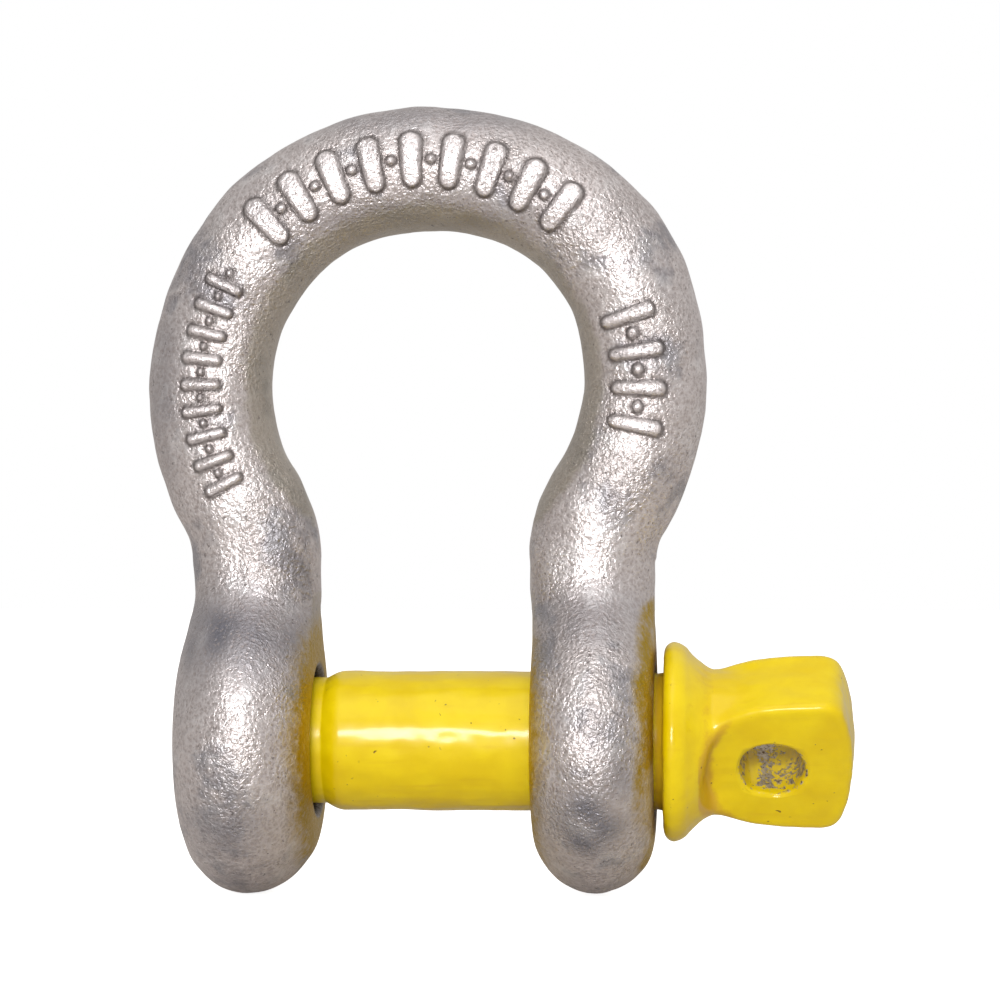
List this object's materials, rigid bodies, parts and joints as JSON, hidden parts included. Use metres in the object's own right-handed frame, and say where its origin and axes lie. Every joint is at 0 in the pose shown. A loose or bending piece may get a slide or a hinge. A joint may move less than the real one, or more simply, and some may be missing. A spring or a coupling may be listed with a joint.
{
  "type": "bow shackle",
  "caption": "Forged bow shackle with a threaded ear and a screw pin, for joining ropes, chain and fittings on a boat.",
  "frame": {"origin": "on the pin's axis, at the middle of the jaw", "axes": "+X along the pin towards its head, +Z from the pin to the crown of the bow, +Y across the bow away from the face that shows the tab's flat"},
  "size_m": [0.0653, 0.0282, 0.0729],
  "materials": {
    "galvanised_forging": "hot-dip zinc, frosted and slightly lumpy",
    "yellow_paint": "thick glossy dipped paint"
  },
  "bodies": {
    "bow": {"bow_body": "galvanised_forging"},
    "pin_slide": {"pin_shank": "yellow_paint"},
    "pin": {"pin_head": "yellow_paint", "pin_thread": "yellow_paint"}
  },
  "joints": [
    {"name": "pin_advance", "type": "slide", "parent": "bow", "child": "pin_slide", "axis": [1, 0, 0], "range_m": [-0.00076, 0.04494]},
    {"name": "pin_turn", "type": "hinge", "parent": "pin_slide", "child": "pin", "pos_m": [0, 0, 0], "axis": [1, 0, 0], "range_deg": [-140.04, 8280.01]}
  ],
  "couplings": [
    {"joint": "pin_turn", "follows": "pin_advance", "rad_per_m": 3215.8}
  ]
}
